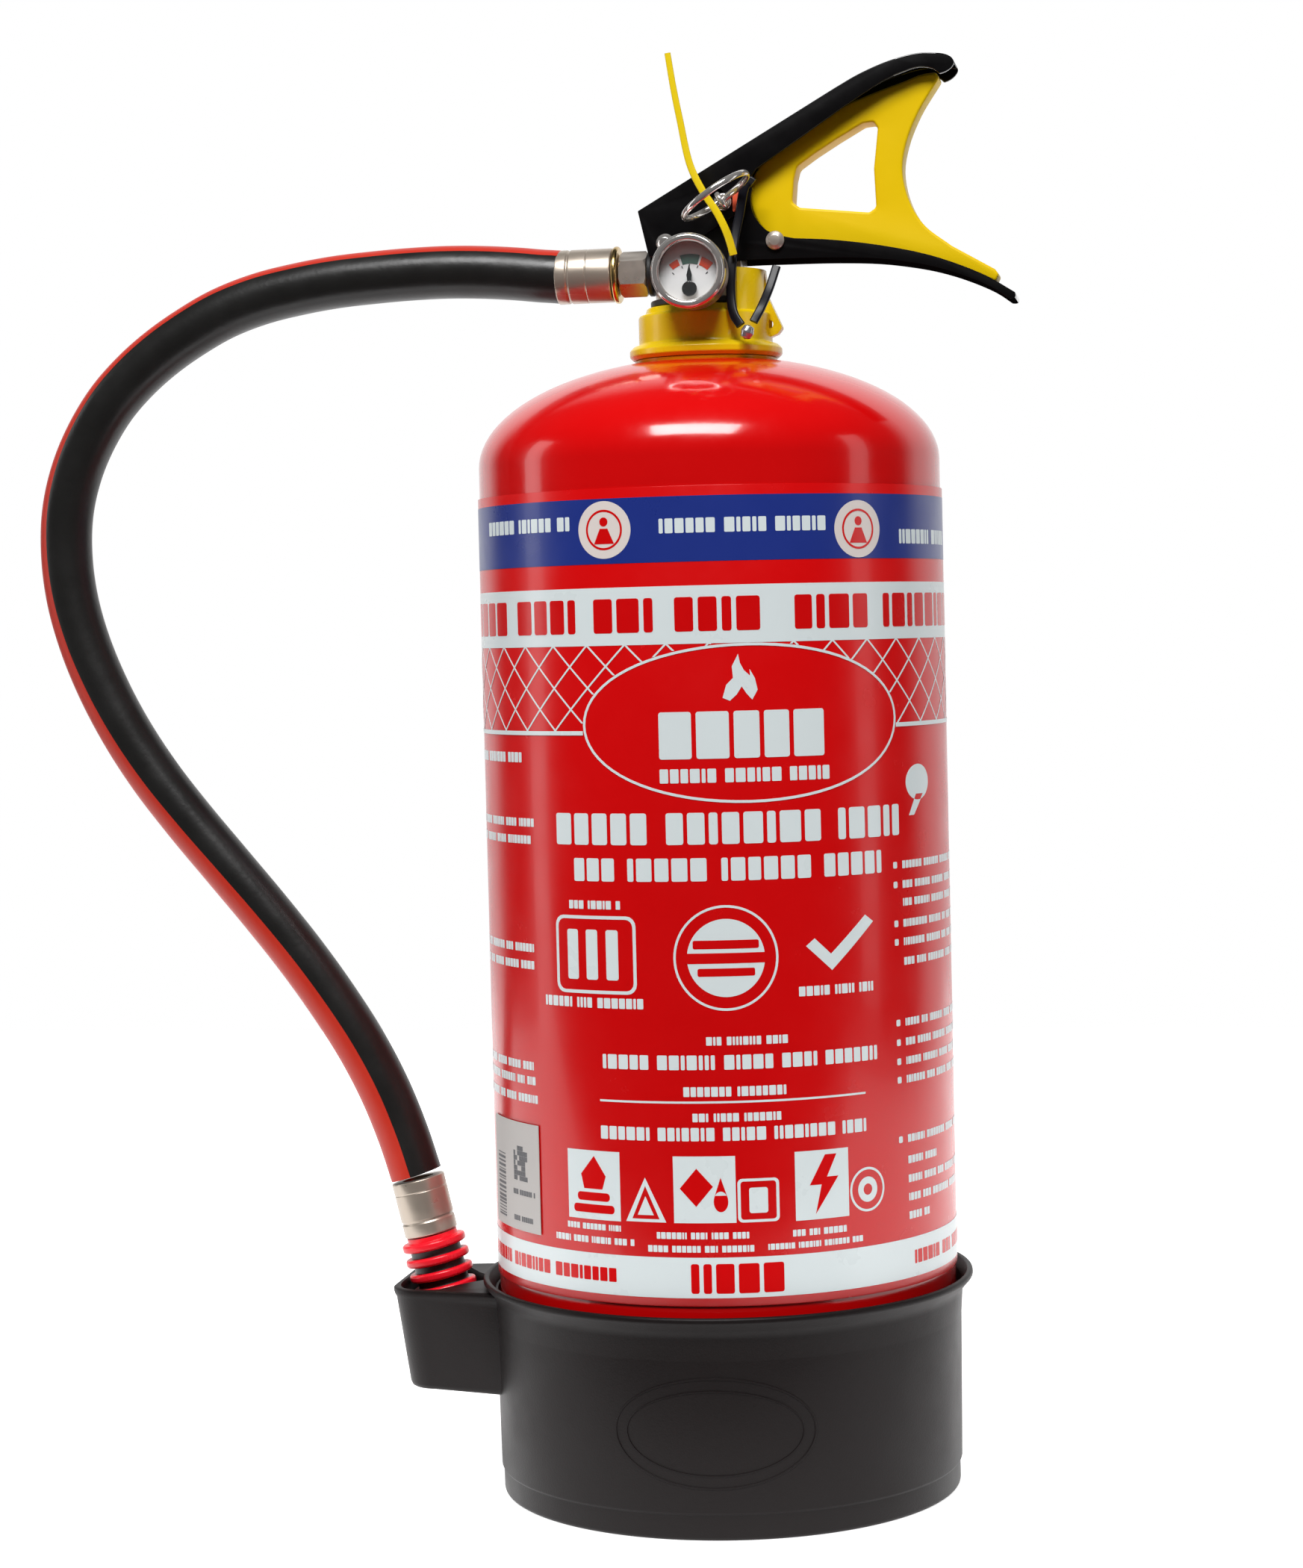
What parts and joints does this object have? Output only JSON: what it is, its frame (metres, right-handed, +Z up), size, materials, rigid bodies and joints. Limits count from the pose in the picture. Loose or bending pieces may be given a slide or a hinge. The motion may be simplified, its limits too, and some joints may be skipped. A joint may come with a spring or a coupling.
{
  "type": "fire extinguisher",
  "caption": "Red dry-powder fire extinguisher with squeeze lever, carry handle, safety pin and ring, pressure gauge, black hose with ribbed nozzle, and a black boot with a nozzle pocket.",
  "frame": {"origin": "on the cylinder's axis at the underside of the boot", "axes": "+Z up along the cylinder; -Y is the side that the gauge faces; +X the way the lever and the carry handle reach; the hose leaves along -X"},
  "size_m": [0.3519, 0.172, 0.4957],
  "materials": {
    "vessel_red": "gloss",
    "label_print": "gloss",
    "sticker_white": "satin",
    "powder": "matte",
    "tube_plastic": "satin",
    "handle_black": "gloss",
    "boot_black": "satin",
    "yellow_plastic": "satin",
    "strap_yellow": "satin",
    "strap_black": "gloss",
    "seal_clear": "gloss",
    "flag_red": "satin",
    "valve_nickel": "polished",
    "steel_bright": "polished",
    "ferrule_steel": "satin",
    "brass": "polished",
    "rubber_black": "satin",
    "rubber_seal": "matte",
    "nozzle_red": "satin",
    "dial_white": "satin",
    "gauge_glass": "gloss"
  },
  "bodies": {
    "root": {"cylinder_shell": "vessel_red", "neck_ring": "vessel_red", "powder_charge": "powder", "siphon_tube": "tube_plastic", "body_label": "label_print", "service_sticker": "sticker_white", "base_boot": "boot_black", "valve_body": "valve_nickel", "neck_gasket": "rubber_seal", "gland_nut": "brass", "gland_o_ring": "rubber_seal", "neck_collar": "yellow_plastic", "carry_handle": "handle_black", "handle_stud_far": "steel_bright", "handle_stud_near": "steel_bright", "lever_pivot_pin": "steel_bright", "valve_spring": "steel_bright", "tether_strap": "strap_black", "tether_return": "strap_black", "tether_seal": "seal_clear", "gauge_case": "valve_nickel", "gauge_dial": "dial_white", "gauge_lens": "gauge_glass", "gauge_bezel": "steel_bright", "bourdon_tube": "brass", "outlet_washer": "rubber_seal", "hose_tail": "brass", "ferrule_ring": "brass", "upper_ferrule": "ferrule_steel", "hose": "rubber_black"},
    "lever": {"squeeze_lever": "handle_black"},
    "stem": {"valve_stem": "steel_bright", "stem_seal": "rubber_seal"},
    "guard": {"handle_guard": "yellow_plastic"},
    "pin": {"safety_pin": "steel_bright", "pin_flag": "flag_red", "tamper_strap": "strap_yellow"},
    "ring": {"pull_ring": "steel_bright"},
    "needle": {"gauge_needle": "handle_black"},
    "nut": {"swivel_nut": "valve_nickel"},
    "nozzle": {"lower_ferrule": "ferrule_steel", "nozzle_body": "nozzle_red", "nozzle_tail": "brass"}
  },
  "joints": [
    {"name": "lever_squeeze", "type": "hinge", "parent": "root", "child": "lever", "pos_m": [-0.0113, 0, 0.4328], "axis": [0, 1, 0], "range_deg": [0, 12], "stiffness_Nm_per_rad": 1.5, "springref_deg": -4.58},
    {"name": "stem_slide", "type": "slide", "parent": "root", "child": "stem", "axis": [0, 0, -1], "range_m": [0, 0.0045], "stiffness_N_per_m": 300, "springref_m": -0.002, "deforming": ["valve_spring"]},
    {"name": "guard_slide", "type": "slide", "parent": "root", "child": "guard", "axis": [1, 0, 0], "range_m": [0, 0.085]},
    {"name": "pin_pull", "type": "slide", "parent": "root", "child": "pin", "axis": [0, -1, 0], "range_m": [0, 0.045], "deforming": ["tether_strap"]},
    {"name": "ring_swing", "type": "hinge", "parent": "pin", "child": "ring", "pos_m": [0.0092, -0.0174, 0.4458], "axis": [0.8387, 0, 0.5446], "range_deg": [-12, 12]},
    {"name": "gauge_pointer", "type": "hinge", "parent": "root", "child": "needle", "pos_m": [0, -0.033, 0.4148], "axis": [0, 1, 0], "range_deg": [-50, 50], "stiffness_Nm_per_rad": 0.0004},
    {"name": "nut_spin", "type": "hinge", "parent": "root", "child": "nut", "pos_m": [-0.0244, 0, 0.424], "axis": [1, 0, 0], "continuous": true},
    {"name": "nozzle_pull", "type": "slide", "parent": "root", "child": "nozzle", "axis": [-0.225, 0, 0.9744], "range_m": [0, 0.05], "deforming": ["hose"]}
  ],
  "couplings": [
    {"joint": "stem_slide", "follows": "lever_squeeze", "m_per_rad": 0.0196},
    {"joint": "guard_slide", "follows": "lever_squeeze", "m_per_rad": 0.4}
  ]
}
